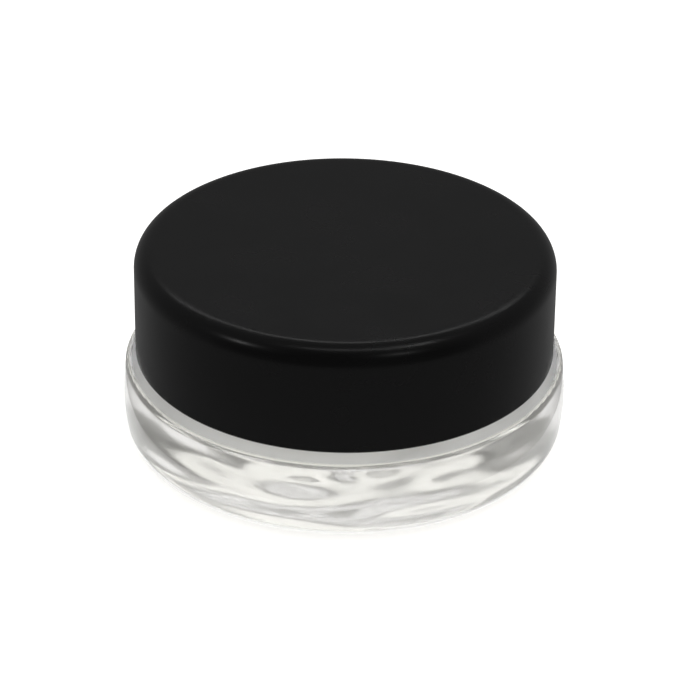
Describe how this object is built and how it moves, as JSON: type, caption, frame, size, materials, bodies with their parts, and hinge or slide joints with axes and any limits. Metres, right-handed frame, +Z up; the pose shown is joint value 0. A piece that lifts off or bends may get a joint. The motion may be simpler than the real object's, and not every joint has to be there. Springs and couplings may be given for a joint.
{
  "type": "screw-lid jar",
  "caption": "Low round jar of thick clear glass with a smooth black screw lid and a foam sealing liner, for keeping a little paint or medium.",
  "frame": {"origin": "on the jar's axis, in the plane of its foot ring", "axes": "+Z up along the jar's axis, towards the lid; +X and +Y are any two square directions across it, since the solids are round"},
  "size_m": [0.043, 0.043, 0.0201],
  "materials": {
    "clear_glass": "pressed soda-lime glass, fire polished",
    "black_polypropylene": "injection moulded, satin",
    "white_foam": "foamed polyethylene sheet, skinned"
  },
  "bodies": {
    "jar": {"jar": "clear_glass"},
    "liner": {"liner": "white_foam"},
    "lid": {"lid": "black_polypropylene"}
  },
  "joints": [
    {"name": "lid_rise", "type": "slide", "parent": "jar", "child": "liner", "axis": [0, 0, 1], "range_m": [0, 0.017]},
    {"name": "lid_turn", "type": "hinge", "parent": "liner", "child": "lid", "pos_m": [0, 0, 0.0186], "axis": [0, 0, 1], "range_deg": [0, 1440]}
  ],
  "couplings": [
    {"joint": "lid_rise", "follows": "lid_turn", "m_per_rad": 0.00067371}
  ]
}
